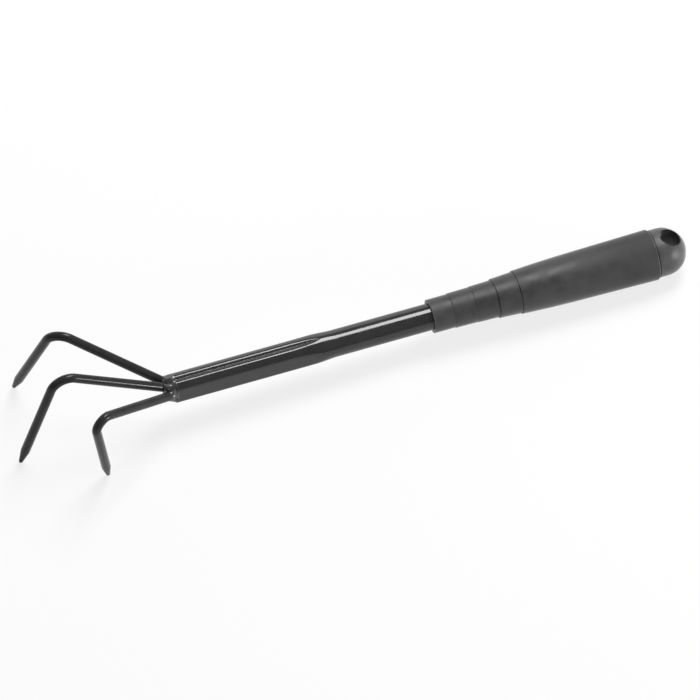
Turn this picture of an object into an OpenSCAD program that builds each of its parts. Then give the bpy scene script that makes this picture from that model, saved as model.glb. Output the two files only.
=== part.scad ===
// Hand cultivator: three bent rod tines welded into the mouth of a fluted steel tube with a moulded grip.
// It lies on its three points and the heel of the grip, with the hang hole's centre at the origin.
// Tool frame: +X runs along the tube from its mouth to the butt, +Y to the left tine, +Z to the flute.

/* [Tube] */
// Outside diameter of the round part of the tube
tube_d = 16; // [15.5:0.25:20]
// Wall thickness of the tube
tube_wall = 1; // [0.8:0.1:1.3]
// Bare length of tube from the mouth to the grip
tube_reach = 158.7; // [130:0.1:240]
// Height of the tube's centre above the ground at the mouth
mouth_height = 26.4; // [20:0.2:45]
// Diameter that the pressed front has over the round part
front_swell = 1.4; // [0.4:0.02:2]
// Length of the pressed front
front_len = 86; // [60:1:110]
// Length of the cone from the pressed front to the round part
front_taper = 14; // [5:0.5:20]

/* [Flute and flats] */
// Depth of the flute pressed into the top of the tube
flute_depth = 1.25; // [0.8:0.05:1.4]
// Radius of the flute's hollow
flute_r = 0.5; // [0.4:0.05:1]
// Radius of the rounded lips beside the flute
flute_lip_r = 3.5; // [2.8:0.1:4.5]
// Width of the tube across the flats pressed into its sides
flats_across = 14.3; // [14:0.1:15.4]
// Lean of the flats toward the top of the tube, in degrees
flats_lean = 5; // [0:1:10]
// Length of the flute and the flats at their full depth
press_len = 70; // [40:1:80]
// Radius along which the flute and the flats run out of the tube
press_run_r = 175; // [120:5:320]

/* [Tines] */
// Diameter of the tine rod
rod_d = 5.5; // [4.5:0.1:5.7]
// Length of the rods inside the tube
root_len = 45; // [20:1:65]
// Distance of each outer rod's root from the middle of the tube
root_side = 3.1; // [2.9:0.05:3.3]
// Radius of the rods' bends at the mouth
root_bend_r = 4; // [3.5:0.25:6]
// Place of the outer rods' bend behind the mouth
outer_bend_inset = 1.2; // [0:0.1:2]
// Place of the centre rod's bend ahead of the mouth
centre_bend_reach = 6; // [5:0.1:9]
// Radius of the left and centre elbows
elbow_r = 10; // [7:0.5:15]
// Radius of the right elbow
right_elbow_r = 6.5; // [5:0.5:12]
// Reach of the left elbow ahead of the mouth
left_elbow_reach = 60; // [50:0.1:80]
// Distance of the left elbow from the middle
left_elbow_side = 34.3; // [25:0.1:45]
// Reach of the right elbow ahead of the mouth
right_elbow_reach = 59.5; // [50:0.1:80]
// Distance of the right elbow from the middle
right_elbow_side = 34.9; // [25:0.1:45]
// Height of the outer elbows above the ground
outer_elbow_height = 68; // [55:0.5:90]
// Reach of the centre elbow ahead of the mouth
centre_elbow_reach = 69.4; // [55:0.1:90]
// Height of the centre elbow above the ground
centre_elbow_height = 71.6; // [55:0.2:90]
// Reach of the left point ahead of the mouth
left_tip_reach = 80; // [65:0.1:100]
// Distance of the left point from the middle
left_tip_side = 52.3; // [40:0.1:65]
// Reach of the centre point ahead of the mouth
centre_tip_reach = 94.2; // [75:0.1:115]
// Reach of the right point ahead of the mouth
right_tip_reach = 50.1; // [40:0.1:85]
// Distance of the right point from the middle
right_tip_side = 26.6; // [20:0.1:55]
// Length of the tapered points
point_len = 9; // [5:0.5:14]
// Radius of the blunted tips
tip_r = 1.3; // [0.5:0.05:1.6]

/* [Weld] */
// Length of the weld ahead of the mouth
weld_reach = 4.8; // [3.6:0.1:6]
// Depth of the weld inside the mouth
weld_depth = 4; // [2:0.25:8]
// Diameter of the weld at its front
weld_front_d = 12; // [10:0.25:14]
// Thickness of each pass of the weld
bead_d = 3.4; // [2.6:0.1:4]
// Number of passes from the mouth to the front of the weld
weld_passes = 3; // [2:1:5]

/* [Grip] */
// Diameter at the front of each ring, from the collar back
ring_front_d = [20.1, 20.8, 21.6, 23.5]; // [18.5:0.1:30]
// Diameter at the rear of each ring, from the collar back
ring_rear_d = [20.1, 21.1, 22.2, 24.9]; // [18.5:0.1:30]
// Depth of the line behind each ring
ring_line_depth = [0.15, 0.2, 0.45, 0.5]; // [0.1:0.05:1]
// Length of the first ring
collar_len = 12.4; // [8:0.1:20]
// Length of each further ring
ring_len = 13.7; // [8:0.1:20]
// Width of the lines between the rings
ring_line_w = 0.5; // [0.2:0.05:1]
// Length of the barrel behind the rings
barrel_len = 83.8; // [60:0.2:110]
// Diameter at the front of the barrel
barrel_front_d = 25.9; // [24:0.1:30]
// Diameter at the knee of the barrel's outline
barrel_knee_d = 28; // [25:0.1:32]
// Distance of that knee from the front of the barrel
barrel_knee_len = 17; // [10:0.5:25]
// Diameter at the rear of the barrel
barrel_rear_d = 30.3; // [29.3:0.1:36]
// Rounding of the barrel's rear edge
heel_r = 0.8; // [0.4:0.1:1.5]
// Chamfer of the collar's front edge
collar_chamfer = 0.4; // [0.2:0.1:0.8]

/* [End plug] */
// Diameter of the domed end
dome_d = 28.4; // [24:0.1:28.6]
// Straight length between the barrel and the dome's centre
dome_base_len = 6; // [4:0.1:12]
// Depth of the shut line between the barrel and the dome
shut_depth = 0.7; // [0.3:0.1:1.2]
// Width of the shut line
shut_w = 0.8; // [0.4:0.1:1.5]
// Diameter of the hang hole
hang_d = 12.4; // [8:0.1:13]
// Distance of the hang hole from the dome's centre
hang_offset = 4.8; // [3:0.1:5.4]
// Length of the spigot inside the tube
spigot_len = 30; // [15:1:60]
// Chamfer at the front of the spigot
spigot_chamfer = 1; // [0.5:0.1:2]

/* [Fits] */
// Gap between pieces that seat in or on each other
seat_gap = 0.05; // [0.02:0.01:0.1]
// Gap between the rods inside the tube
rod_gap = 0.9; // [0.4:0.05:1.1]

/* [Hidden] */
$fn = 64;
cut_over = 2;
lip_proud = 0.03;
arc_steps = 6;
bend_thinning = 0.02;
bend_lap = 0.1;

tube_r = tube_d / 2;
front_r = tube_r + front_swell / 2;
rod_r = rod_d / 2;
ring_count = len(ring_front_d);
ring_x = [for (i = [0 : ring_count]) tube_reach + (i > 0 ? collar_len + (i - 1) * ring_len : 0)];
barrel_x = ring_x[ring_count];
grip_rear = barrel_x + barrel_len;
dome_r = dome_d / 2;
dome_x = grip_rear + dome_base_len;
hang_x = dome_x + hang_offset;

// Flute: a round hollow whose lips roll into the tube's surface, in the (Y, Z) plane of the tube
flute_floor = front_r - flute_depth;
flute_centre = flute_floor + flute_r;
lip_reach = front_r + lip_proud - flute_lip_r;
lip_z = (lip_reach ^ 2 - (flute_r + flute_lip_r) ^ 2 + flute_centre ^ 2) / (2 * flute_centre);
lip_y = sqrt(lip_reach ^ 2 - lip_z ^ 2);

// Rest: the axis drops from the mouth to the heel ring, which lies on the ground with the points
heel_x = grip_rear - heel_r;
heel_ring_r = barrel_rear_d / 2 - heel_r;
rest_tilt = asin((mouth_height - heel_r) / norm([heel_x, heel_ring_r])) - atan(heel_ring_r / heel_x);

// Roots: the centre rod lies under the flute, and the outer rods lie below it, side by side
centre_root_z = flute_floor - tube_wall - seat_gap - rod_r;
outer_root_z = centre_root_z - sqrt((rod_d + rod_gap) ^ 2 - root_side ^ 2);

function unit(v) = v / norm(v);
function bezier(a, b, c, t) = a * (1 - t) ^ 2 + b * 2 * t * (1 - t) + c * t ^ 2;

// A point given by its reach ahead of the mouth, its side and its height above the ground
function above_ground(reach, side, height) = let(rise = height - mouth_height) [
    -reach * cos(rest_tilt) - rise * sin(rest_tilt),
    side,
    -reach * sin(rest_tilt) + rise * cos(rest_tilt)
];

left_path = [
    [root_len, root_side, outer_root_z],
    [outer_bend_inset, root_side, outer_root_z],
    above_ground(left_elbow_reach, left_elbow_side, outer_elbow_height),
    above_ground(left_tip_reach, left_tip_side, tip_r)
];
centre_path = [
    [root_len, 0, centre_root_z],
    [-centre_bend_reach, 0, centre_root_z],
    above_ground(centre_elbow_reach, 0, centre_elbow_height),
    above_ground(centre_tip_reach, 0, tip_r)
];
right_path = [
    [root_len, -root_side, outer_root_z],
    [outer_bend_inset, -root_side, outer_root_z],
    above_ground(right_elbow_reach, -right_elbow_side, outer_elbow_height),
    above_ground(right_tip_reach, -right_tip_side, tip_r)
];

// Sets the tool down on the ground, with the hang hole's centre at the origin
module place() {
    rotate([0, rest_tilt, 0]) translate([-hang_x, 0, 0]) children();
}

// Puts a shape's own axes along the given directions, at the given origin
module on_axes(x, y, z, origin) {
    multmatrix([
        [x[0], y[0], z[0], origin[0]],
        [x[1], y[1], z[1], origin[1]],
        [x[2], y[2], z[2], origin[2]]
    ]) children();
}

// Stands a shape's Z axis along a direction
module along(direction, origin) {
    x = unit(cross(direction, abs(direction[1]) < 0.9 ? [0, 1, 0] : [1, 0, 0]));
    on_axes(x, cross(direction, x), direction, origin) children();
}

// Turns an outline of (radius, length) points about the tube's axis
module turned(outline) {
    rotate([0, 90, 0]) rotate_extrude() polygon(outline);
}

// Points on an arc in a plane, from one angle to another
function arc(centre, r, from, to) = [for (i = [0 : arc_steps]) let(a = from + (to - from) * i / arc_steps)
    centre + r * [cos(a), sin(a)]];

// Section of the flute, grown into the tube's wall by a distance: one lip, half the hollow, and their mirror
module flute_section(grow) {
    lip = [lip_y, lip_z];
    lip_out = atan2(lip_z, lip_y);
    lip_in = atan2(flute_centre - lip_z, -lip_y);
    half = concat(
        [lip * (flute_centre + cut_over) / lip_z],
        arc(lip, flute_lip_r - grow, lip_out, lip_in),
        arc([0, flute_centre], flute_r + grow, lip_in - 180, -90)
    );
    last = len(half) - 1;
    polygon(concat(half, [for (i = [1 : last]) [-half[last - i][0], half[last - i][1]]]));
}

// Presses a section into the top of the tube: straight past the mouth, then out of the tube on a long arc
module pressed(floor) {
    front = weld_reach + cut_over;
    run_axis = floor + press_run_r;
    run_angle = acos(1 - (front_r - floor + cut_over) / press_run_r);
    translate([-front, 0, 0]) rotate([90, 0, 90]) linear_extrude(front + press_len) children();
    translate([press_len, 0, run_axis])
        rotate([90, 90, 0])
            rotate_extrude(angle = run_angle) translate([run_axis, 0]) rotate(90) children();
}

// The flute along the top, grown into the tube's wall by a distance
module flute(grow) {
    pressed(flute_floor) flute_section(grow);
}

// The flats on both sides, grown into the tube's wall by a distance
module flats(grow) {
    floor = flats_across / 2;
    for (side = [-1, 1])
        rotate([side * (90 - flats_lean), 0, 0])
            pressed(floor) translate([-front_r, floor - grow]) square([2 * front_r, front_r + cut_over]);
}

// Outline of the tube's skin at a depth below its surface
function skin(depth, over) = [
    [0, -over],
    [front_r - depth, -over],
    [front_r - depth, front_len],
    [tube_r - depth, front_len + front_taper],
    [tube_r - depth, grip_rear + over],
    [0, grip_rear + over]
];

// The space inside the tube, drawn in by a gap
module tube_inside(gap) {
    difference() {
        turned(skin(tube_wall + gap, cut_over));
        flute(tube_wall + gap);
        flats(tube_wall + gap);
    }
}

module handle_tube() {
    color("#1f2021") place() difference() {
        turned(skin(0, 0));
        flute(0);
        flats(0);
        tube_inside(0);
    }
}

// Rod end that tapers to a blunt point, from its start along Z
module pointed_end(length) {
    taper = atan((rod_r - tip_r) / point_len);
    tip = [for (i = [0 : arc_steps]) let(a = taper + (90 - taper) * i / arc_steps)
        [i == arc_steps ? 0 : tip_r * cos(a), length + tip_r * sin(a)]];
    rotate_extrude() polygon(concat([[0, 0], [rod_r, 0], [rod_r, length - point_len]], tip));
}

// A round bend from one straight to the next, with its corner at the given place, drawn thin as it bends
module bend(corner, before, after, radius) {
    turn = acos(before * after);
    normal = unit(cross(before, after));
    inward = cross(normal, before);
    start = corner - before * radius * tan(turn / 2);
    on_axes(-inward, before, normal, start + inward * radius)
        rotate_extrude(angle = turn) translate([radius, 0]) circle(rod_r - bend_thinning);
}

// A rod bent at the mouth and at the elbow, whose straights lap a little way round the bends
module bent_rod(path, elbow) {
    root = unit(path[1] - path[0]);
    shank = unit(path[2] - path[1]);
    prong = unit(path[3] - path[2]);
    mouth_set = root_bend_r * tan(acos(root * shank) / 2) - bend_lap;
    elbow_set = elbow * tan(acos(shank * prong) / 2) - bend_lap;
    along(root, path[0]) cylinder(h = norm(path[1] - path[0]) - mouth_set, r = rod_r);
    bend(path[1], root, shank, root_bend_r);
    along(shank, path[1] + shank * mouth_set)
        cylinder(h = norm(path[2] - path[1]) - mouth_set - elbow_set, r = rod_r);
    bend(path[2], shank, prong, elbow);
    along(prong, path[2] + prong * elbow_set) pointed_end(norm(path[3] - path[2]) - elbow_set);
}

module left_tine() {
    color("#2b2c2d") place() bent_rod(left_path, elbow_r);
}

module centre_tine() {
    color("#2b2c2d") place() bent_rod(centre_path, elbow_r);
}

module right_tine() {
    color("#2b2c2d") place() bent_rod(right_path, right_elbow_r);
}

// Room for a rod in the weld: two straights that meet in a ball, which clears the bend between them
module rod_channel(path) {
    root = unit(path[1] - path[0]);
    shank = unit(path[2] - path[1]);
    turn = acos(root * shank);
    middle = path[1] + unit(shank - root) * root_bend_r * (1 / cos(turn / 2) - 1);
    half_bend = root_bend_r * turn / 2 * PI / 180;
    along(root, path[0]) cylinder(h = norm(path[1] - path[0]), r = rod_r + seat_gap);
    along(shank, path[1]) cylinder(h = norm(path[2] - path[1]), r = rod_r + seat_gap);
    translate(middle) sphere(norm([rod_r, half_bend]) + seat_gap);
}

// The weld plugs the mouth and stands ahead of it in rounded passes laid round the rods
module mouth_weld() {
    bead_r = bead_d / 2;
    first = [front_r - bead_r, -bead_r / 2];
    last = [weld_front_d / 2 - bead_r, bead_r - weld_reach];
    face = last[1] - bead_r / 2;
    color("#2f3031") place() difference() {
        union() {
            intersection() {
                tube_inside(seat_gap);
                rotate([0, 90, 0]) cylinder(h = weld_depth, r = front_r);
            }
            rotate([0, 90, 0]) rotate_extrude() intersection() {
                union() {
                    polygon([[0, 0], [first[0], 0], first, last, [last[0], face], [0, face]]);
                    for (i = [0 : weld_passes - 1])
                        translate(first + (last - first) * i / (weld_passes - 1)) circle(bead_r);
                }
                translate([0, -weld_reach - bead_r]) square([front_r + bead_r, weld_reach + bead_r]);
            }
        }
        flats(0);
        for (path = [left_path, centre_path, right_path]) rod_channel(path);
    }
}

// Outline of one ring of the grip, with the line cut behind it
function ring_outline(i) = let(line_x = ring_x[i + 1] - ring_line_w) [
    [ring_front_d[i] / 2, ring_x[i]],
    [ring_rear_d[i] / 2, line_x],
    [ring_rear_d[i] / 2 - ring_line_depth[i], line_x],
    [ring_rear_d[i] / 2 - ring_line_depth[i], ring_x[i + 1]]
];

module grip_sleeve() {
    bore_r = tube_r + seat_gap;
    knee = [barrel_knee_d / 2, barrel_x + barrel_knee_len];
    rear = [barrel_rear_d / 2, heel_x];
    collar = [
        [bore_r, tube_reach],
        [ring_front_d[0] / 2 - collar_chamfer, tube_reach],
        [ring_front_d[0] / 2, tube_reach + collar_chamfer]
    ];
    rings = [for (i = [0 : ring_count - 1], p = ring_outline(i)) if (i > 0 || p[1] > tube_reach) p];
    blend_end = knee + unit(rear - knee) * barrel_knee_len;
    swell = [for (i = [0 : arc_steps])
        bezier([barrel_front_d / 2, barrel_x], knee, blend_end, i / arc_steps)];
    heel = [for (i = [0 : arc_steps]) let(a = 90 * i / arc_steps)
        [heel_ring_r + heel_r * cos(a), heel_x + heel_r * sin(a)]];
    color("#4a4b4b") place() turned(concat(collar, rings, swell, heel, [[bore_r, grip_rear]]));
}

module end_plug() {
    spigot_r = tube_r - tube_wall - seat_gap;
    spigot_front = grip_rear - spigot_len;
    outline = [
        [0, spigot_front],
        [spigot_r - spigot_chamfer, spigot_front],
        [spigot_r, spigot_front + 2 * spigot_chamfer],
        [spigot_r, grip_rear],
        [dome_r - shut_depth, grip_rear],
        [dome_r - shut_depth, grip_rear + shut_w],
        [dome_r, grip_rear + shut_w],
        [dome_r, dome_x],
        [0, dome_x]
    ];
    color("#555656") place() difference() {
        rotate([0, 90, 0]) rotate_extrude() {
            polygon(outline);
            translate([0, dome_x]) intersection() {
                circle(dome_r);
                square(dome_d);
            }
        }
        translate([hang_x, 0, 0]) cylinder(h = dome_d + cut_over, d = hang_d, center = true);
    }
}

handle_tube();
left_tine();
centre_tine();
right_tine();
mouth_weld();
grip_sleeve();
end_plug();
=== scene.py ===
"""Looks of a hand cultivator: a fluted tube, three bent tines, a lumpy weld and a moulded grip."""

import math

import bmesh
import bpy
from mathutils import Matrix, Vector, noise


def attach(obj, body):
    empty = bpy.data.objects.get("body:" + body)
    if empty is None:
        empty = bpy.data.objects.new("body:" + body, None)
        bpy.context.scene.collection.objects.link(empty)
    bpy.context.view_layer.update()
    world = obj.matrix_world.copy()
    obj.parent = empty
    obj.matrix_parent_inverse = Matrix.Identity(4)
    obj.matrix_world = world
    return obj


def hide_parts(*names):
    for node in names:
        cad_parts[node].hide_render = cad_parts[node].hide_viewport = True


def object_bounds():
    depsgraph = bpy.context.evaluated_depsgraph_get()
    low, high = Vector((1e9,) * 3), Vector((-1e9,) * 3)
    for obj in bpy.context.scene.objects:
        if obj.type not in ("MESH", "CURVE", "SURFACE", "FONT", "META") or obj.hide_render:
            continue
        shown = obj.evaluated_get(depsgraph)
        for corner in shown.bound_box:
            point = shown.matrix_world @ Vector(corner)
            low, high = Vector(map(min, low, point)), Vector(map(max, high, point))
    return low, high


bl_info = {
    "name": "Hand cultivator",
    "version": (1, 0, 0),
    "blender": (4, 5, 0),
    "location": "3D View > Sidebar > Cultivator",
    "description": "Models and finishes a three-tine hand cultivator on its solids",
    "category": "Add Mesh",
}

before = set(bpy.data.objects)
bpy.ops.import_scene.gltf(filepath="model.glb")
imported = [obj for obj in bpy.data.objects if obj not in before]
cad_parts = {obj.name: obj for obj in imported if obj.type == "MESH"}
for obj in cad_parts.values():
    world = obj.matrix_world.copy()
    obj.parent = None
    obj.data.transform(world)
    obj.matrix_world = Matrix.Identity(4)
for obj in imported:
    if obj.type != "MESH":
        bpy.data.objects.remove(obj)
CAD_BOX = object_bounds()
MM = 0.001

# The tool's own frame: +X along the tube from its mouth to the butt, +Z to the flute
# Place of the hang hole along it, tilt at rest and height of the mouth's centre above the floor
HANG_X = 306.8 * MM
REST_TILT = math.radians(2.18609)
MOUTH_HEIGHT = 26.4 * MM
PLACE = Matrix.Rotation(REST_TILT, 4, "Y") @ Matrix.Translation((-HANG_X, 0, 0))

# The floor's height and the middle of the tool, in the row's frame
FLOOR_Z = CAD_BOX[0].z
MIDDLE = Vector((-0.2, 0, 0.02))

# Facets round the pieces, and steps along their bends and round stretches
TURNED_FACETS = 160
TUBE_FACETS = 192
ROD_FACETS = 40
WELD_FACETS = 96
DRILL_FACETS = 96
FLOOR_FACETS = 64
ROOT_BEND_STEPS = 10
ELBOW_STEPS = 24
TIP_STEPS = 7
KNEE_STEPS = 16
HEEL_STEPS = 6
DOME_STEPS = 40

# Most of a noise pattern lies between these values
PATTERN_LOW = 0.3
PATTERN_HIGH = 0.7

# Places along the row's X between which the grip grows duller
DULL_START = -75 * MM
DULL_END = -25 * MM

# Painted shade on the wall of the hang hole: the share of the plastic's colour kept there, and the depth in
# which it fades out
HOLE_SHADE_SHARE = 0.2
HOLE_SHADE_FADE = 0.6 * MM

# Angle from the top to the middle of each pressed flat, and the factor within which the skin is near one
FLAT_LEAN = math.radians(85)
FLAT_MARGIN = 1.2

# Share of an even spacing that the points of the tube's rings keep at the top, where the flute is
TOP_SPACING = 0.3

# Rounding of the rods' cut ends and of the domed end's edges, and how near its rim's points lie to the hole
CUT_EDGE = 0.25 * MM
DOME_EDGE = 0.15 * MM
RIM_TOLERANCE = 0.01 * MM

# Angle from the top to the weld's high side, and the fineness of its lumps
HIGH_SIDE = math.radians(54.5)
LUMP_SCALE = 520

# Rings of the weld in millimetres: place along the tube, and depth below its skin at the upper left and
# at the lower right
WELD_PASSES = (
    (4, 0.9, 0.9), (2.6, 0.12, 0.12), (1.2, -0.06, -0.04), (0, -0.1, 0.25), (-1, -0.05, 0.8),
    (-2.2, 0.15, 1.5), (-3.4, 0.9, 1.9), (-4.5, 2, 2.6), (-5.3, 3.4, 3.8), (-5.8, 5.6, 5.8),
)
# Lumps round the rods in millimetres: sideways place, height, reach before the mouth and radius
WELD_DROPS = (
    (5.3, 1.5, 2.7, 3.4), (-5.3, 1.2, 3.2, 3.5), (0, 3.6, 2.8, 2.9), (-0.4, -3.6, 3.9, 1.9),
    (5.2, -3.2, 3.6, 1.7), (2.6, 4.6, 4.2, 1.8), (-2.6, 5.9, 2.6, 1.8), (-2.6, 5.8, 3.4, 1.8),
    (-2.6, 5.6, 4.2, 1.8), (-2.5, 5.2, 5, 1.6),
)

# The floor: its gap under the tool, its radius in metres and the share of plain white that is seen in it
FLOOR_GAP = 0.2 * MM
FLOOR_RADIUS = 8
FLOOR_WHITE = 0.78

# The photograph's angle, and the middle of the picture right of and above the mouth, in millimetres
SWING = math.radians(12.3)
PITCH = math.radians(54.5)
ROLL = math.radians(15.61)
AIM_RIGHT = 102.74
AIM_UP = 22.29


def length(name, description, millimetres):
    """A length property with its default in millimetres."""
    return bpy.props.FloatProperty(
        name=name, description=description, default=millimetres * MM, unit="LENGTH", precision=5
    )


def lengths(name, description, millimetres):
    """A row of lengths with their defaults in millimetres."""
    return bpy.props.FloatVectorProperty(
        name=name, description=description, size=len(millimetres), default=[v * MM for v in millimetres],
        unit="LENGTH",
    )


def power(name, description, watts):
    """A power property with its default in watts."""
    return bpy.props.FloatProperty(name=name, description=description, default=watts, unit="POWER")


def colour(name, description, rgb):
    """A linear colour property."""
    return bpy.props.FloatVectorProperty(
        name=name, description=description, size=3, default=rgb, subtype="COLOR", min=0, max=1
    )


class TubeSettings(bpy.types.PropertyGroup):
    """Sizes and paint of the handle tube."""

    diameter: length("Diameter", "Outside diameter of the round part", 16)
    swell: length("Front swell", "Diameter that the pressed front has over the round part", 1.4)
    front: length("Front", "Length of the swollen front", 86)
    taper: length("Taper", "Length of the cone behind the front", 14)
    end: length("End", "Place of the tube's rear end inside the grip", 296)
    wall: length("Wall", "Thickness of the wall", 1)
    rim: length("Rim rounding", "Rounding of the tube's ends", 0.35)
    flute_depth: length("Flute depth", "Depth of the flute pressed into the top", 1.25)
    flute_radius: length("Flute radius", "Radius of the flute's hollow", 0.5)
    lip_radius: length("Lip radius", "Radius of the lips beside the flute", 3)
    flute_length: length("Flute length", "Length of the flute at its full depth", 70)
    runout_radius: length("Run-out radius", "Radius along which the flute and the flats run out", 175)
    flats: length("Flats", "Width across the flats pressed into the sides", 14.3)
    flat_edge: length("Flat edge", "Softness of the flats' edges", 0.68)
    paint: colour("Paint", "Colour of the gloss paint", (0.025, 0.025, 0.0247))


class TineSettings(bpy.types.PropertyGroup):
    """Sizes and paint of the tines."""

    rod: length("Rod", "Diameter of the rod", 5.5)
    root: length("Root", "Length of the rods inside the tube", 45)
    root_bend: length("Root bend", "Radius of the bends at the mouth", 4)
    elbow_bend: length("Elbow bend", "Radius of the left and centre elbows", 10)
    right_bend: length("Right bend", "Radius of the right elbow", 6.5)
    outer_bend: lengths("Outer bend", "Corner of the outer rods' root bend", (1.2, 3.1, -1.949))
    centre_bend: lengths("Centre bend", "Corner of the centre rod's root bend", (-6, 0, 3.65))
    left_elbow: lengths("Left elbow", "Reach, side and height of the left elbow", (60, 34.3, 68))
    left_tip: lengths("Left tip", "Reach, side and height of the left point", (80, 52.3, 1.3))
    centre_elbow: lengths("Centre elbow", "Reach, side and height of the centre elbow", (69.4, 0, 71.6))
    centre_tip: lengths("Centre tip", "Reach, side and height of the centre point", (94.2, 0, 1.3))
    right_elbow: lengths("Right elbow", "Reach, side and height of the right elbow", (59.5, -34.9, 68))
    right_tip: lengths("Right tip", "Reach, side and height of the right point", (50.1, -26.6, 1.3))
    point: length("Point", "Length of the tapered points", 9)
    tip_radius: length("Tip radius", "Rounding of the tips", 1.3)
    paint: colour("Paint", "Colour of the satin paint", (0.027, 0.027, 0.0267))


class WeldSettings(bpy.types.PropertyGroup):
    """Lumps and paint of the weld at the mouth."""

    lump: length("Lumps", "Height of the lumps in the weld", 0.8)
    paint: colour("Paint", "Colour of the paint over the weld", (0.028, 0.028, 0.0277))


class GripSettings(bpy.types.PropertyGroup):
    """Sizes and plastic of the grip sleeve."""

    start: length("Start", "Place of the grip's front on the tube", 158.7)
    bore: length("Bore", "Diameter of the grip's bore", 16.1)
    ring_front: lengths("Ring fronts", "Diameter at the front of each ring", (20.1, 20.8, 21.6, 23.5))
    ring_rear: lengths("Ring rears", "Diameter at the rear of each ring", (20.1, 21.1, 22.2, 24.9))
    lead: lengths("Leads", "Length of the slope at the front of each ring", (0, 0.6, 0.6, 0.1))
    line_depth: lengths("Line depths", "Depth of the line behind each ring", (0.04, 0.08, 0.3, 0.3))
    line_width: length("Line width", "Width of the lines", 0.5)
    collar: length("Collar", "Length of the first ring", 12.4)
    ring: length("Ring", "Length of each further ring", 13.7)
    barrel: length("Barrel", "Length of the barrel", 83.8)
    barrel_front: length("Barrel front", "Diameter at the front of the barrel", 25.9)
    knee: length("Knee", "Diameter at the knee of the barrel", 28)
    knee_reach: length("Knee reach", "Distance of the knee from the barrel's front", 17)
    barrel_rear: length("Barrel rear", "Diameter at the rear of the barrel", 30.3)
    heel: length("Heel", "Rounding of the barrel's rear edge", 0.8)
    edge: length("Edges", "Rounding of the rings' edges", 0.12)
    plastic: colour("Plastic", "Colour of the grip", (0.0355, 0.0355, 0.0351))


class PlugSettings(bpy.types.PropertyGroup):
    """Sizes and plastic of the domed end."""

    start: length("Start", "Place of the shut line behind the grip", 296)
    dome: length("Dome", "Diameter of the dome", 28.4)
    base: length("Base", "Straight length before the dome", 6)
    shut_depth: length("Shut line depth", "Depth of the shut line", 0.7)
    shut_width: length("Shut line width", "Width of the shut line", 0.8)
    spigot: length("Spigot", "Diameter of the spigot in the tube", 13.9)
    spigot_length: length("Spigot length", "Length of the spigot", 30)
    hole: length("Hang hole", "Diameter of the hang hole", 12.4)
    rim: length("Rim", "Rounding of the hole's rim", 0.7)
    plastic: colour("Plastic", "Colour of the domed end", (0.066, 0.066, 0.0654))


class StageSettings(bpy.types.PropertyGroup):
    """Light, floor and camera."""

    key_power: power("Key", "Power of the soft light overhead", 38)
    back_power: power("Back", "Power of the low light behind", 7)
    side_power: power("Side", "Power of the small low light at the butt end", 14)
    fill: bpy.props.FloatProperty(
        name="Fill", description="Strength of the room's light", default=0.24, min=0
    )
    floor: colour("Floor", "Colour of the floor", (0.86, 0.86, 0.86))
    distance: length("Distance", "Distance of the camera", 16000)
    width: length("Width", "Width that the picture spans", 405.7)


class CultivatorSettings(bpy.types.PropertyGroup):
    """All settings of the hand cultivator."""

    tube: bpy.props.PointerProperty(type=TubeSettings, name="Tube", description="Handle tube")
    tines: bpy.props.PointerProperty(type=TineSettings, name="Tines", description="Tines")
    weld: bpy.props.PointerProperty(type=WeldSettings, name="Weld", description="Weld at the mouth")
    grip: bpy.props.PointerProperty(type=GripSettings, name="Grip", description="Grip sleeve")
    plug: bpy.props.PointerProperty(type=PlugSettings, name="Plug", description="Domed end")
    stage: bpy.props.PointerProperty(type=StageSettings, name="Stage", description="Light, floor and camera")


# Materials


def surface(name, base, roughness, specular=0.5):
    """A new material; returns it with its nodes, links, shader and Object coordinates."""
    material = bpy.data.materials.new(name)
    material.use_nodes = True
    nodes, links = material.node_tree.nodes, material.node_tree.links
    shader = nodes["Principled BSDF"]
    shader.inputs["Base Color"].default_value = (*base, 1)
    shader.inputs["Roughness"].default_value = roughness
    shader.inputs["Specular IOR Level"].default_value = specular
    return material, nodes, links, shader, nodes.new("ShaderNodeTexCoord").outputs["Object"]


def noise_field(nodes, links, where, scale, detail):
    """A noise pattern on the given coordinates, as a value from 0 to 1."""
    field = nodes.new("ShaderNodeTexNoise")
    field.inputs["Scale"].default_value = scale
    field.inputs["Detail"].default_value = detail
    links.new(where, field.inputs["Vector"])
    return field.outputs["Fac"]


def spread(nodes, links, value, low, high, start=PATTERN_LOW, stop=PATTERN_HIGH):
    """Maps a pattern to a range of values."""
    remap = nodes.new("ShaderNodeMapRange")
    for socket, number in zip(("From Min", "From Max", "To Min", "To Max"), (start, stop, low, high)):
        remap.inputs[socket].default_value = number
    links.new(value, remap.inputs["Value"])
    return remap.outputs["Result"]


def combine(nodes, links, operation, first, second):
    """Joins a pattern with another one or with a number."""
    joined = nodes.new("ShaderNodeMath")
    joined.operation = operation
    links.new(first, joined.inputs[0])
    if isinstance(second, float):
        joined.inputs[1].default_value = second
    else:
        links.new(second, joined.inputs[1])
    return joined.outputs["Value"]


def mottle(nodes, links, shader, pattern, base, dark, light):
    """Varies the shader's colour with a pattern, from a darker to a lighter share of its base."""
    ramp = nodes.new("ShaderNodeValToRGB")
    low, high = ramp.color_ramp.elements
    low.position = PATTERN_LOW
    high.position = PATTERN_HIGH
    low.color = (*(channel * dark for channel in base), 1)
    high.color = (*(channel * light for channel in base), 1)
    links.new(pattern, ramp.inputs["Fac"])
    links.new(ramp.outputs["Color"], shader.inputs["Base Color"])


def roughen(nodes, links, shader, pattern, strength, depth):
    """Raises a pattern as a bump on the surface."""
    bump = nodes.new("ShaderNodeBump")
    bump.inputs["Strength"].default_value = strength
    bump.inputs["Distance"].default_value = depth
    links.new(pattern, bump.inputs["Height"])
    links.new(bump.outputs["Normal"], shader.inputs["Normal"])


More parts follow.
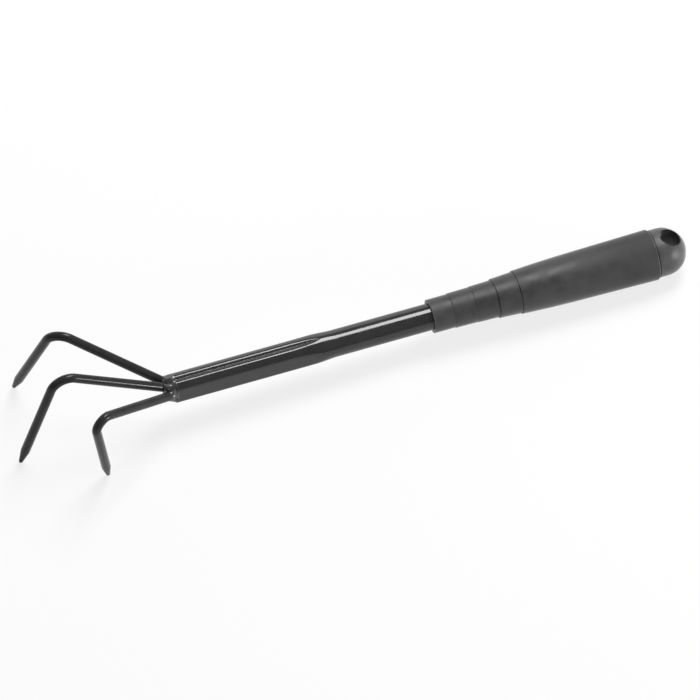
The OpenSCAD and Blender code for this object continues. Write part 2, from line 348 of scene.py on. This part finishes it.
def gloss_paint(name, base):
    """Glossy paint with a faint orange peel and thin, rubbed patches."""
    material, nodes, links, shader, where = surface(name, base, roughness=0.1)
    patches = noise_field(nodes, links, where, scale=90, detail=3)
    peel = noise_field(nodes, links, where, scale=520, detail=1)
    mottle(nodes, links, shader, patches, base, dark=0.85, light=1.15)
    links.new(spread(nodes, links, patches, low=0.08, high=0.13), shader.inputs["Roughness"])
    roughen(nodes, links, shader, peel, strength=0.03, depth=0.1 * MM)
    return material


def satin_paint(name, base, roughness, specular):
    """Satin paint with a fine grain and worn patches, on the rods and over the weld."""
    material, nodes, links, shader, where = surface(name, base, roughness, specular)
    patches = noise_field(nodes, links, where, scale=140, detail=4)
    speckle = noise_field(nodes, links, where, scale=2600, detail=2)
    mottle(nodes, links, shader, patches, base, dark=0.8, light=1.2)
    worn = spread(nodes, links, patches, low=roughness - 0.02, high=roughness + 0.05)
    links.new(worn, shader.inputs["Roughness"])
    roughen(nodes, links, shader, speckle, strength=0.01, depth=0.05 * MM)
    return material


def moulded_plastic(name, base, roughness, dull=0.0):
    """Matte moulding with a fine grain and handled patches, and duller at the rear where asked."""
    material, nodes, links, shader, where = surface(name, base, roughness, specular=0.4)
    shader.inputs["Sheen Weight"].default_value = 0.75
    shader.inputs["Sheen Roughness"].default_value = 0.35
    clouds = noise_field(nodes, links, where, scale=110, detail=3)
    grain = noise_field(nodes, links, where, scale=3200, detail=2)
    mottle(nodes, links, shader, clouds, base, dark=0.75, light=1.28)
    patches = spread(nodes, links, clouds, low=roughness - 0.08, high=roughness + 0.08)
    if dull:
        along = nodes.new("ShaderNodeSeparateXYZ")
        links.new(where, along.inputs["Vector"])
        rear = spread(nodes, links, along.outputs["X"], 0, dull, DULL_START, DULL_END)
        patches = combine(nodes, links, "ADD", patches, rear)
    links.new(patches, shader.inputs["Roughness"])
    roughen(nodes, links, shader, grain, strength=0.12, depth=0.06 * MM)
    return material


def shade_hole_wall(material, radius, axis):
    """Paints shade into the colour of a hole's wall through the origin, darkening it where little light
    comes.
    """
    nodes, links = material.node_tree.nodes, material.node_tree.links
    colour_in = nodes["Principled BSDF"].inputs["Base Color"]
    unshaded_colour = colour_in.links[0].from_socket
    offset = nodes.new("ShaderNodeVectorMath")
    offset.operation = "CROSS_PRODUCT"
    offset.inputs[1].default_value = axis
    links.new(nodes["Texture Coordinate"].outputs["Object"], offset.inputs[0])
    reach = nodes.new("ShaderNodeVectorMath")
    reach.operation = "LENGTH"
    links.new(offset.outputs["Vector"], reach.inputs[0])
    shaded = nodes.new("ShaderNodeVectorMath")
    shaded.operation = "SCALE"
    links.new(unshaded_colour, shaded.inputs[0])
    # Painted shade: the colour falls to a share of itself on the hole's wall
    wall = spread(nodes, links, reach.outputs["Value"], HOLE_SHADE_SHARE, 1, radius, radius + HOLE_SHADE_FADE)
    links.new(wall, shaded.inputs["Scale"])
    links.new(shaded.outputs["Vector"], colour_in)


# Shapes


def piece(name, bm, material, node, placed=True):
    """Makes the finished object of a mesh, set down in the row's frame, in place of its CAD node."""
    if placed:
        bmesh.ops.transform(bm, matrix=PLACE, verts=bm.verts)
    bmesh.ops.recalc_face_normals(bm, faces=bm.faces)
    for face in bm.faces:
        face.smooth = True
    mesh = bpy.data.meshes.new(name)
    bm.to_mesh(mesh)
    bm.free()
    mesh.materials.append(material)
    made = bpy.data.objects.new(name, mesh)
    bpy.context.scene.collection.objects.link(made)
    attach(made, "root")
    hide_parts(node)
    return made


def quarter_turn(steps):
    """Even angles from nothing to a right angle."""
    return [math.pi / 2 * i / steps for i in range(steps + 1)]


def turned(bm, outline):
    """Spins an outline of (place, radius) points about the tube's axis."""
    verts = [bm.verts.new((x, 0, r)) for x, r in outline]
    edges = [bm.edges.new(pair) for pair in zip(verts, verts[1:])]
    bmesh.ops.spin(
        bm, geom=verts + edges, axis=(1, 0, 0), cent=(0, 0, 0), angle=math.tau, steps=TURNED_FACETS,
        use_merge=True,
    )
    bmesh.ops.remove_doubles(bm, verts=bm.verts, dist=0.001 * MM)


def round_edges(bm, radius, degrees, segments=3, where=lambda edge: True):
    """Rounds the edges that turn by more than some degrees."""
    bmesh.ops.recalc_face_normals(bm, faces=bm.faces)
    turn = math.radians(degrees)
    sharp = [e for e in bm.edges if e.is_manifold and e.calc_face_angle() > turn and where(e)]
    bmesh.ops.bevel(
        bm, geom=sharp, offset=radius, offset_type="OFFSET", segments=segments, profile=0.5, affect="EDGES",
        material=-1, clamp_overlap=True,
    )


def ring(bm, radius, centre, direction, segments):
    """A ring of edges round a direction."""
    made = bmesh.ops.create_circle(bm, cap_ends=False, radius=radius, segments=segments)["verts"]
    turn = Vector((0, 0, 1)).rotation_difference(direction).to_matrix().to_4x4()
    bmesh.ops.transform(bm, matrix=Matrix.Translation(centre) @ turn, verts=made)
    return ring_edges(made)


def ring_edges(verts):
    """The edges that join a ring's own vertices, each once and in a fixed order."""
    own = set(verts)
    return list(dict.fromkeys(e for v in verts for e in v.link_edges if own.issuperset(e.verts)))


def ring_verts(edges):
    """The vertices of a ring's edges, each once and in a fixed order."""
    return list(dict.fromkeys(v for e in edges for v in e.verts))


def draw_out(bm, edges, step, scale=1.0):
    """Extrudes a ring of edges along a step, and scales its new end."""
    new = bmesh.ops.extrude_edge_only(bm, edges=edges)["geom"]
    verts = [g for g in new if isinstance(g, bmesh.types.BMVert)]
    bmesh.ops.translate(bm, verts=verts, vec=step)
    centre = sum((v.co for v in verts), Vector()) / len(verts)
    if scale != 1:
        bmesh.ops.scale(bm, verts=verts, vec=(scale,) * 3, space=Matrix.Translation(-centre))
    return ring_edges(verts)


def bend(bm, edges, corner, before, after, radius, steps):
    """Spins a ring of edges round a bend and returns its last ring."""
    turn = before.angle(after)
    axis = before.cross(after).normalized()
    start = corner - before * radius * math.tan(turn / 2)
    centre = start + axis.cross(before) * radius
    verts = ring_verts(edges)
    last = bmesh.ops.spin(
        bm, geom=verts + edges, axis=axis, cent=centre, angle=turn, steps=steps, use_duplicate=False
    )["geom_last"]
    return ring_edges([g for g in last if isinstance(g, bmesh.types.BMVert)])


def tube_radius(x, tube):
    """Radius of the tube's skin before the flute is pressed."""
    front = (tube.diameter + tube.swell) / 2
    along = min(max((x - tube.front) / tube.taper, 0), 1)
    return front - tube.swell / 2 * along * along * (3 - 2 * along)


def flattened(skin, rise, angle, tube):
    """Radius of the skin beside the flute, where a flat is pressed into each side."""
    slant = math.cos(angle - FLAT_LEAN)
    flat = tube.flats / 2 + rise * rise / (2 * tube.runout_radius)
    if slant * skin * FLAT_MARGIN < flat:
        return skin
    flat /= slant
    blend = max(tube.flat_edge - abs(flat - skin), 0)
    return min(flat, skin) - blend * blend / (4 * tube.flat_edge)


def fluted_radius(x, angle, tube):
    """Radius of the tube's skin at an angle from its top, with the flute pressed in."""
    skin = tube_radius(x, tube)
    rise = max(x - tube.flute_length, 0)
    floor = (tube.diameter + tube.swell) / 2 - tube.flute_depth + rise * rise / (2 * tube.runout_radius)
    if floor >= skin:
        return flattened(skin, rise, abs(angle), tube)
    centre = floor + tube.flute_radius
    lip_reach = skin - tube.lip_radius
    lip_z = (lip_reach**2 - (tube.flute_radius + tube.lip_radius) ** 2 + centre**2) / (2 * centre)
    lip_angle = math.acos(min(lip_z / lip_reach, 1))
    lip_y = lip_reach * math.sin(lip_angle)
    share = tube.lip_radius / (tube.flute_radius + tube.lip_radius)
    join = math.atan2(lip_y * (1 - share), lip_z + (centre - lip_z) * share)
    off = abs(angle)
    if off >= lip_angle:
        return flattened(skin, rise, off, tube)
    if off >= join:
        across = lip_reach * math.sin(off - lip_angle)
        return lip_reach * math.cos(off - lip_angle) + math.sqrt(tube.lip_radius**2 - across**2)
    return centre * math.cos(off) - math.sqrt(tube.flute_radius**2 - (centre * math.sin(off)) ** 2)


class CULTIVATOR_OT_handle_tube(bpy.types.Operator):
    """Draws the tube out along its axis, presses the flute into it and gives it its wall"""

    bl_idname = "cultivator.handle_tube"
    bl_label = "Handle tube"

    def execute(self, context):
        tube = context.scene.cultivator.tube
        bm = bmesh.new()
        edges = ring(bm, tube.diameter / 2, (0, 0, 0), Vector((1, 0, 0)), TUBE_FACETS)
        # Places of the rings in millimetres, close together where the flute and the flats run out
        runout = range(66, 104)
        place = 0
        for station in (1, 20, 45, 60, *runout, 120, 150, tube.end / MM):
            edges = draw_out(bm, edges, ((station - place) * MM, 0, 0))
            place = station
        for v in bm.verts:
            even = math.atan2(v.co.y, v.co.z)
            angle = even * (TOP_SPACING + (1 - TOP_SPACING) * (even / math.pi) ** 2)
            radius = fluted_radius(v.co.x, angle, tube)
            v.co.y = radius * math.sin(angle)
            v.co.z = radius * math.cos(angle)
        bmesh.ops.recalc_face_normals(bm, faces=bm.faces)
        bmesh.ops.solidify(bm, geom=bm.faces[:], thickness=tube.wall)
        round_edges(bm, tube.rim, degrees=60)
        piece("handle_tube_skin", bm, gloss_paint("gloss_paint", tube.paint), "handle_tube")
        return {"FINISHED"}


def above_ground(point):
    """A point in the row's frame, by its reach before the mouth, its side and its height on the floor."""
    mouth = PLACE @ Vector((0, 0, 0))
    return Vector((mouth.x - point[0], point[1], mouth.z + point[2] - MOUTH_HEIGHT))


def bent_rod(bm, corners, elbow_bend, tines):
    """Draws a rod from its root through its two bends to its point."""
    root, shank, prong = [(b - a).normalized() for a, b in zip(corners, corners[1:])]
    radius = tines.rod / 2
    mouth_set = tines.root_bend * math.tan(root.angle(shank) / 2)
    elbow_set = elbow_bend * math.tan(shank.angle(prong) / 2)
    edges = ring(bm, radius, corners[0], root, ROD_FACETS)
    bmesh.ops.edgeloop_fill(bm, edges=edges)
    edges = draw_out(bm, edges, root * ((corners[1] - corners[0]).length - mouth_set))
    edges = bend(bm, edges, corners[1], root, shank, tines.root_bend, ROOT_BEND_STEPS)
    edges = draw_out(bm, edges, shank * ((corners[2] - corners[1]).length - mouth_set - elbow_set))
    edges = bend(bm, edges, corners[2], shank, prong, elbow_bend, ELBOW_STEPS)
    straight = (corners[3] - corners[2]).length - elbow_set - tines.point
    edges = draw_out(bm, edges, prong * straight)
    taper = math.atan((radius - tines.tip_radius) / tines.point)
    outline = [(0.0, radius), (tines.point, tines.tip_radius * math.cos(taper))]
    for i in range(1, TIP_STEPS):
        a = taper + (math.pi / 2 - taper) * i / TIP_STEPS
        outline.append((tines.point + tines.tip_radius * math.sin(a), tines.tip_radius * math.cos(a)))
    for (near, wide), (far, narrow) in zip(outline, outline[1:]):
        edges = draw_out(bm, edges, prong * (far - near), narrow / wide)
    bmesh.ops.edgeloop_fill(bm, edges=edges)


class CULTIVATOR_OT_tines(bpy.types.Operator):
    """Draws the three rods from the mouth through their elbows to their points"""

    bl_idname = "cultivator.tines"
    bl_label = "Tines"

    def execute(self, context):
        tines = context.scene.cultivator.tines
        paint = satin_paint("satin_paint", tines.paint, roughness=0.2, specular=0.2)
        right_bend = (tines.outer_bend[0], -tines.outer_bend[1], tines.outer_bend[2])
        routes = {
            "left_tine": (tines.outer_bend, tines.left_elbow, tines.left_tip, tines.elbow_bend),
            "centre_tine": (tines.centre_bend, tines.centre_elbow, tines.centre_tip, tines.elbow_bend),
            "right_tine": (right_bend, tines.right_elbow, tines.right_tip, tines.right_bend),
        }
        for node, (corner, elbow, tip, elbow_bend) in routes.items():
            bm = bmesh.new()
            root = PLACE @ Vector((tines.root, corner[1], corner[2]))
            corners = [root, PLACE @ Vector(corner), above_ground(elbow), above_ground(tip)]
            bent_rod(bm, corners, elbow_bend, tines)
            round_edges(bm, CUT_EDGE, degrees=12, segments=2)
            piece(node + "_rod", bm, paint, node, placed=False)
        return {"FINISHED"}


class CULTIVATOR_OT_mouth_weld(bpy.types.Operator):
    """Runs weld metal over the mouth, piles lumps round the rods and melts them into one body"""

    bl_idname = "cultivator.mouth_weld"
    bl_label = "Mouth weld"

    def execute(self, context):
        weld = context.scene.cultivator.weld
        tube = context.scene.cultivator.tube
        mouth = (tube.diameter + tube.swell) / 2
        bm = bmesh.new()
        edges = ring(bm, mouth, (WELD_PASSES[0][0] * MM, 0, 0), Vector((-1, 0, 0)), WELD_FACETS)
        rows = [ring_verts(edges)]
        for (near, _, _), (far, _, _) in zip(WELD_PASSES, WELD_PASSES[1:]):
            edges = draw_out(bm, edges, ((far - near) * MM, 0, 0))
            rows.append(ring_verts(edges))
        for row, (place, high, low) in zip(rows, WELD_PASSES):
            for v in row:
                angle = math.atan2(v.co.y, v.co.z)
                skin = fluted_radius(0, angle, tube) if place > 0 else flattened(mouth, 0, abs(angle), tube)
                share = 0.5 - 0.5 * math.cos(angle - HIGH_SIDE)
                lumps = 0.0 if place > 0 else weld.lump * noise.noise(v.co * LUMP_SCALE)
                radius = skin - (high + (low - high) * share) * MM + lumps
                v.co.y = radius * math.sin(angle)
                v.co.z = radius * math.cos(angle)
                v.co.x += lumps
        for end in (rows[0], rows[-1]):
            bmesh.ops.edgeloop_fill(bm, edges=ring_edges(end))
        for side, height, reach, size in WELD_DROPS:
            middle = Matrix.Translation(Vector((-reach, side, height)) * MM)
            bmesh.ops.create_icosphere(bm, subdivisions=3, radius=size * MM, matrix=middle)
        paint = satin_paint("weld_paint", weld.paint, roughness=0.28, specular=1.0)
        made = piece("mouth_weld_lumps", bm, paint, "mouth_weld")
        melt = made.modifiers.new("melt", "REMESH")
        melt.mode = "VOXEL"
        melt.voxel_size = 0.22 * MM
        melt.use_smooth_shade = True
        settle = made.modifiers.new("settle", "SMOOTH")
        settle.factor = 0.5
        settle.iterations = 6
        return {"FINISHED"}


def grip_outline(grip):
    """The half section of the grip: its rings and their lines, the barrel, the heel and the bore."""
    outline = [(grip.start, grip.bore / 2)]
    rings = zip(grip.ring_front, grip.ring_rear, grip.lead, grip.line_depth)
    for i, (front, rear, lead, depth) in enumerate(rings):
        near = outline[-1][0]
        far = near + (grip.ring if i else grip.collar)
        line_start = far - grip.line_width
        line = rear / 2 - depth
        outline += [(near + lead, front / 2), (line_start, rear / 2), (line_start, line), (far, line)]
    barrel = outline[-1][0]
    front = Vector((barrel, grip.barrel_front / 2))
    knee = Vector((barrel + grip.knee_reach, grip.knee / 2))
    rear = Vector((barrel + grip.barrel - grip.heel, grip.barrel_rear / 2))
    blend = knee + (rear - knee).normalized() * grip.knee_reach
    for i in range(KNEE_STEPS + 1):
        t = i / KNEE_STEPS
        outline.append(tuple(front * (1 - t) ** 2 + knee * 2 * t * (1 - t) + blend * t * t))
    for a in quarter_turn(HEEL_STEPS):
        outline.append((rear.x + grip.heel * math.sin(a), rear.y - grip.heel + grip.heel * math.cos(a)))
    return outline + [(barrel + grip.barrel, grip.bore / 2), outline[0]]


class CULTIVATOR_OT_grip_sleeve(bpy.types.Operator):
    """Turns the grip from its outline and rounds the edges of its rings"""

    bl_idname = "cultivator.grip_sleeve"
    bl_label = "Grip sleeve"

    def execute(self, context):
        grip = context.scene.cultivator.grip
        bm = bmesh.new()
        turned(bm, grip_outline(grip))
        round_edges(bm, grip.edge, degrees=40)
        plastic = moulded_plastic("grip_plastic", grip.plastic, roughness=0.48, dull=0.25)
        made = piece("grip_moulding", bm, plastic, "grip_sleeve")
        # The long faces of the rings then shade evenly up to their rounded edges
        made.modifiers.new("even_shading", "WEIGHTED_NORMAL")
        return {"FINISHED"}


def plug_outline(plug):
    """The half section of the domed end: its spigot, the shut line, the straight base and the dome."""
    dome = plug.dome / 2
    neck = dome - plug.shut_depth
    spigot = plug.spigot / 2
    front = plug.start - plug.spigot_length
    shut_end = plug.start + plug.shut_width
    centre = plug.start + plug.base
    outline = [
        (front, 0), (front, spigot), (plug.start, spigot),
        (plug.start, neck), (shut_end, neck), (shut_end, dome), (centre, dome),
    ]
    return outline + [(centre + dome * math.sin(a), dome * math.cos(a)) for a in quarter_turn(DOME_STEPS)[1:]]


def bored(context, solid, radius, depth):
    """The mesh of a solid with a hole through the row's origin, square to the tube."""
    bm = bmesh.new()
    bmesh.ops.create_cone(
        bm, cap_ends=True, segments=DRILL_FACETS, radius1=radius, radius2=radius, depth=depth,
        matrix=PLACE @ Matrix.Translation((HANG_X, 0, 0)),
    )
    mesh = bpy.data.meshes.new("drill")
    bm.to_mesh(mesh)
    bm.free()
    drill = bpy.data.objects.new("drill", mesh)
    context.scene.collection.objects.link(drill)
    cut = solid.modifiers.new("hang_hole", "BOOLEAN")
    cut.operation = "DIFFERENCE"
    cut.solver = "EXACT"
    cut.object = drill
    context.view_layer.update()
    cut_mesh = bpy.data.meshes.new_from_object(solid.evaluated_get(context.evaluated_depsgraph_get()))
    solid.modifiers.clear()
    bpy.data.objects.remove(drill)
    return cut_mesh


class CULTIVATOR_OT_end_plug(bpy.types.Operator):
    """Turns the domed end with its spigot and bores the hang hole through it"""

    bl_idname = "cultivator.end_plug"
    bl_label = "End plug"

    def execute(self, context):
        plug = context.scene.cultivator.plug
        hole = plug.hole / 2
        axis = PLACE.to_3x3() @ Vector((0, 0, 1))
        bm = bmesh.new()
        turned(bm, plug_outline(plug))
        round_edges(bm, DOME_EDGE, degrees=40)
        plastic = moulded_plastic("plug_plastic", plug.plastic, roughness=0.46)
        # Painted shade darkens the colour of the hang hole's wall
        shade_hole_wall(plastic, hole, axis)
        made = piece("end_plug_dome", bm, plastic, "end_plug")
        mesh = bored(context, made, hole, plug.dome * 2)
        bm = bmesh.new()
        bm.from_mesh(mesh)

        def on_rim(edge):
            return all(abs(v.co.cross(axis).length - hole) < RIM_TOLERANCE for v in edge.verts)

        round_edges(bm, plug.rim, degrees=20, segments=4, where=on_rim)
        for face in bm.faces:
            face.smooth = True
        bm.to_mesh(mesh)
        bm.free()
        made.data = mesh
        return {"FINISHED"}


class CULTIVATOR_OT_stage(bpy.types.Operator):
    """Lays the pale floor, sets the soft light and places the camera"""

    bl_idname = "cultivator.stage"
    bl_label = "Stage"

    def execute(self, context):
        stage = context.scene.cultivator.stage
        bm = bmesh.new()
        below = Matrix.Translation((MIDDLE.x, 0, FLOOR_Z - FLOOR_GAP))
        bmesh.ops.create_circle(bm, cap_ends=True, segments=FLOOR_FACETS, radius=FLOOR_RADIUS, matrix=below)
        mesh = bpy.data.meshes.new("floor")
        bm.to_mesh(mesh)
        bm.free()
        mesh.materials.append(pale_floor(stage.floor))
        floor = bpy.data.objects.new("floor", mesh)
        context.scene.collection.objects.link(floor)
        overhead = (0.37, 0.305, 0.878)
        behind = (0, 0.96, 0.28)
        low_butt = (0.783, -0.609, 0.128)
        soft_light("key", stage.key_power, size=(0.75, 1.15), direction=overhead, distance=2.0)
        soft_light("back", stage.back_power, size=(2.4, 0.9), direction=behind, distance=1.6)
        soft_light("side", stage.side_power, size=(0.4, 0.28), direction=low_butt, distance=1.58)
        world = bpy.data.worlds.new("room")
        world.use_nodes = True
        background = world.node_tree.nodes["Background"]
        background.inputs["Color"].default_value = (1, 1, 1, 1)
        background.inputs["Strength"].default_value = stage.fill
        context.scene.world = world
        context.scene.view_settings.view_transform = "Standard"
        place_camera(context, stage)
        return {"FINISHED"}


def pale_floor(base):
    """A pale floor that the camera and the reflections see almost white, with the shadow kept."""
    material, nodes, links, shader, where = surface("pale_floor", base, roughness=0.8, specular=0.2)
    clouds = noise_field(nodes, links, where, scale=3, detail=2)
    mottle(nodes, links, shader, clouds, base, dark=0.99, light=1)
    path = nodes.new("ShaderNodeLightPath").outputs
    mirrored = combine(nodes, links, "MAXIMUM", path["Is Glossy Ray"], path["Is Transmission Ray"])
    seen = combine(nodes, links, "MAXIMUM", path["Is Camera Ray"], mirrored)
    share = combine(nodes, links, "MULTIPLY", seen, FLOOR_WHITE)
    glow = nodes.new("ShaderNodeEmission")
    glow.inputs["Strength"].default_value = 1.0
    mix = nodes.new("ShaderNodeMixShader")
    links.new(share, mix.inputs["Fac"])
    links.new(shader.outputs["BSDF"], mix.inputs[1])
    links.new(glow.outputs["Emission"], mix.inputs[2])
    links.new(mix.outputs["Shader"], nodes["Material Output"].inputs["Surface"])
    return material


def soft_light(name, watts, size, direction, distance):
    """A soft box that faces the middle of the tool from a direction."""
    light = bpy.data.lights.new(name, "AREA")
    light.shape = "RECTANGLE"
    light.energy = watts
    light.size, light.size_y = size
    lamp = bpy.data.objects.new(name, light)
    outward = Vector(direction)
    lamp.location = MIDDLE + outward.normalized() * distance
    lamp.rotation_euler = outward.to_track_quat("Z", "Y").to_euler()
    bpy.context.scene.collection.objects.link(lamp)


def place_camera(context, stage):
    """Sets the camera at the photograph's angle, far off behind a long lens."""
    along = Vector((math.cos(SWING), -math.cos(PITCH) * math.sin(SWING), math.sin(PITCH) * math.sin(SWING)))
    across = Vector((0, math.sin(PITCH), math.cos(PITCH)))
    toward = along.cross(across)
    right = along * math.cos(ROLL) - across * math.sin(ROLL)
    up = along * math.sin(ROLL) + across * math.cos(ROLL)
    turn = PLACE.to_3x3()
    centre = PLACE @ (right * AIM_RIGHT * MM + up * AIM_UP * MM)
    axes = Matrix([turn @ right, turn @ up, turn @ toward]).transposed().to_4x4()
    lens = bpy.data.cameras.new("camera")
    lens.sensor_width = 36
    lens.lens = lens.sensor_width * stage.distance / stage.width
    lens.clip_end = 100
    camera = bpy.data.objects.new("camera", lens)
    camera.matrix_world = Matrix.Translation(centre + turn @ toward * stage.distance) @ axes
    context.scene.collection.objects.link(camera)
    context.scene.camera = camera


class CULTIVATOR_PT_panel(bpy.types.Panel):
    """Lists the pieces of the hand cultivator"""

    bl_idname = "CULTIVATOR_PT_panel"
    bl_label = "Hand cultivator"
    bl_space_type = "VIEW_3D"
    bl_region_type = "UI"
    bl_category = "Cultivator"

    def draw(self, context):
        for operator in OPERATORS:
            self.layout.operator(operator.bl_idname)


SETTINGS = (
    TubeSettings, TineSettings, WeldSettings, GripSettings, PlugSettings, StageSettings, CultivatorSettings,
)
OPERATORS = (
    CULTIVATOR_OT_handle_tube, CULTIVATOR_OT_tines, CULTIVATOR_OT_mouth_weld, CULTIVATOR_OT_grip_sleeve,
    CULTIVATOR_OT_end_plug, CULTIVATOR_OT_stage,
)


def register():
    for cls in (*SETTINGS, *OPERATORS, CULTIVATOR_PT_panel):
        bpy.utils.register_class(cls)
    bpy.types.Scene.cultivator = bpy.props.PointerProperty(
        type=CultivatorSettings, name="Cultivator", description="Settings of the hand cultivator"
    )


def unregister():
    del bpy.types.Scene.cultivator
    for cls in reversed((*SETTINGS, *OPERATORS, CULTIVATOR_PT_panel)):
        bpy.utils.unregister_class(cls)


def main():
    register()
    bpy.ops.cultivator.handle_tube()
    bpy.ops.cultivator.tines()
    bpy.ops.cultivator.mouth_weld()
    bpy.ops.cultivator.grip_sleeve()
    bpy.ops.cultivator.end_plug()
    bpy.ops.cultivator.stage()


if __name__ == "__main__":
    main()
